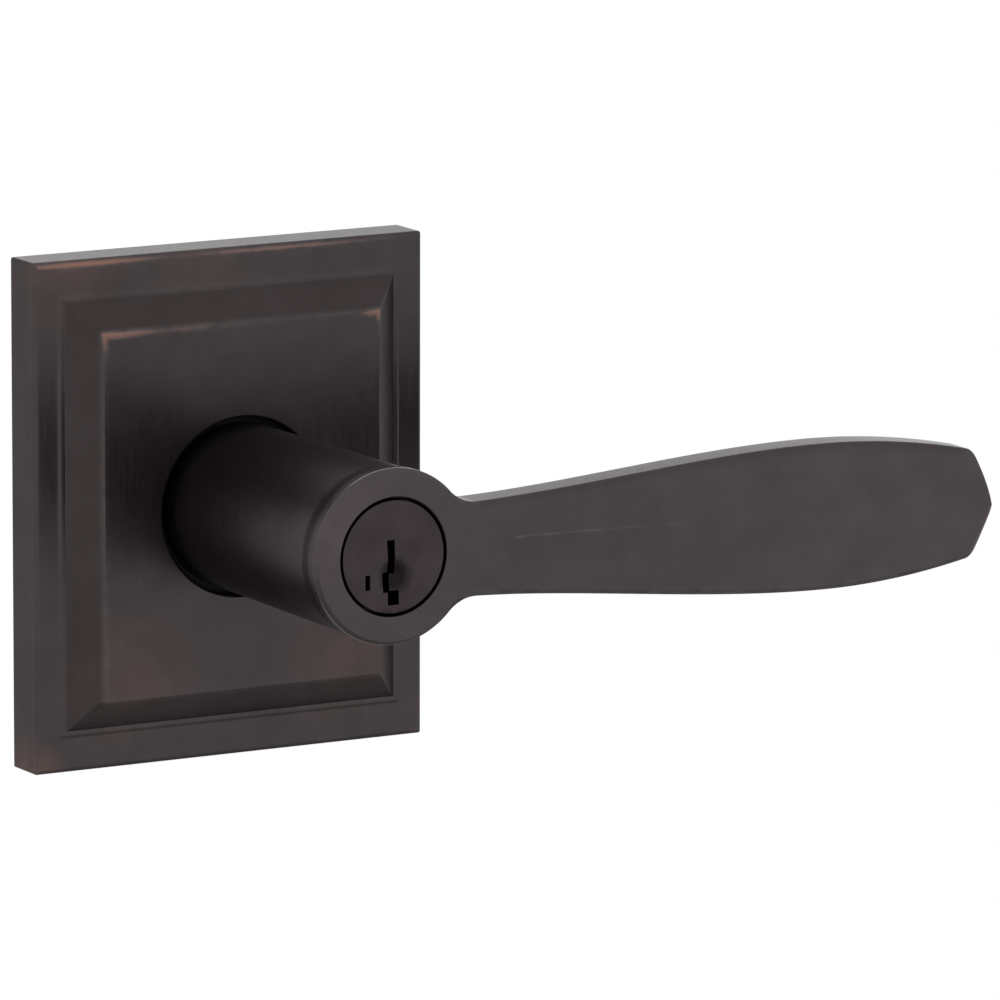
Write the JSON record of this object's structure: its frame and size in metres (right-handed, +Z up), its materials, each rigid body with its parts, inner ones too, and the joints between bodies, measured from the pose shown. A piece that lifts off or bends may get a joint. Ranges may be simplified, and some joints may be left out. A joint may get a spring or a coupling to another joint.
{
  "type": "lever handle lockset",
  "caption": "Keyed lever handle on a bevelled rectangular rosette, with key cylinder, return spring drum, screw posts and latch spindle.",
  "frame": {"origin": "spindle axis where it crosses the door face", "axes": "+Z up, -Y out of the door towards the user, +X along the lever"},
  "size_m": [0.1408, 0.1042, 0.08],
  "materials": {
    "rosette_bronze": "satin rubbed bronze, copper showing on the edges",
    "lever_bronze": "satin rubbed bronze",
    "plug_bronze": "satin bronze",
    "zinc_plated_steel": "zinc plated pressing",
    "bright_zinc": "machined and zinc plated",
    "spring_steel": "drawn spring steel",
    "blackened_brass": "brass with a blackened finish",
    "cylinder_brass": "turned brass",
    "bush_nylon": "black nylon"
  },
  "bodies": {
    "chassis": {"rosette": "rosette_bronze", "rose_plate": "zinc_plated_steel", "spring_housing": "zinc_plated_steel", "spring_cover": "zinc_plated_steel", "housing_rivets": "zinc_plated_steel", "bearing_bush": "bush_nylon", "stop_pins": "zinc_plated_steel", "screw_posts": "bright_zinc", "rosette_clips": "spring_steel", "clip_rivets": "zinc_plated_steel", "return_spring": "spring_steel"},
    "lever": {"lever_handle": "lever_bronze", "drive_sleeve": "bright_zinc", "half_round_spindle": "bright_zinc", "spindle_pins": "zinc_plated_steel", "return_cam": "zinc_plated_steel", "thrust_washer": "zinc_plated_steel", "sleeve_circlip": "spring_steel", "cylinder_shell": "blackened_brass", "cylinder_clip": "spring_steel", "catch_spring": "spring_steel"},
    "catch": {"lever_catch": "bright_zinc"},
    "plug": {"key_plug": "plug_bronze", "plug_circlip": "spring_steel", "tailpiece": "bright_zinc", "sidebar": "cylinder_brass", "chamber_cap": "cylinder_brass", "tumbler_springs": "spring_steel"},
    "tumbler_1_body": {"tumbler_1": "cylinder_brass"},
    "tumbler_2_body": {"tumbler_2": "cylinder_brass"},
    "tumbler_3_body": {"tumbler_3": "cylinder_brass"},
    "tumbler_4_body": {"tumbler_4": "cylinder_brass"},
    "tumbler_5_body": {"tumbler_5": "cylinder_brass"}
  },
  "joints": [
    {"name": "lever_turn", "type": "hinge", "parent": "chassis", "child": "lever", "pos_m": [0, 0, 0], "axis": [0, 1, 0], "range_deg": [-45, 45], "stiffness_Nm_per_rad": 1.6, "deforming": ["return_spring"]},
    {"name": "key_turn", "type": "hinge", "parent": "lever", "child": "plug", "pos_m": [0, -0.045, 0], "axis": [0, 1, 0], "range_deg": [-90, 90]},
    {"name": "catch_press", "type": "slide", "parent": "lever", "child": "catch", "axis": [0, 0, 1], "range_m": [0, 0.0024], "stiffness_N_per_m": 800, "springref_m": -0.002, "deforming": ["catch_spring"]},
    {"name": "tumbler_1_lift", "type": "slide", "parent": "plug", "child": "tumbler_1_body", "axis": [0, 0, 1], "range_m": [0, 0.0012], "stiffness_N_per_m": 200, "springref_m": -0.001, "deforming": ["tumbler_springs"]},
    {"name": "tumbler_2_lift", "type": "slide", "parent": "plug", "child": "tumbler_2_body", "axis": [0, 0, 1], "range_m": [0, 0.0012], "stiffness_N_per_m": 200, "springref_m": -0.001},
    {"name": "tumbler_3_lift", "type": "slide", "parent": "plug", "child": "tumbler_3_body", "axis": [0, 0, 1], "range_m": [0, 0.0012], "stiffness_N_per_m": 200, "springref_m": -0.001},
    {"name": "tumbler_4_lift", "type": "slide", "parent": "plug", "child": "tumbler_4_body", "axis": [0, 0, 1], "range_m": [0, 0.0012], "stiffness_N_per_m": 200, "springref_m": -0.001},
    {"name": "tumbler_5_lift", "type": "slide", "parent": "plug", "child": "tumbler_5_body", "axis": [0, 0, 1], "range_m": [0, 0.0012], "stiffness_N_per_m": 200, "springref_m": -0.001}
  ]
}
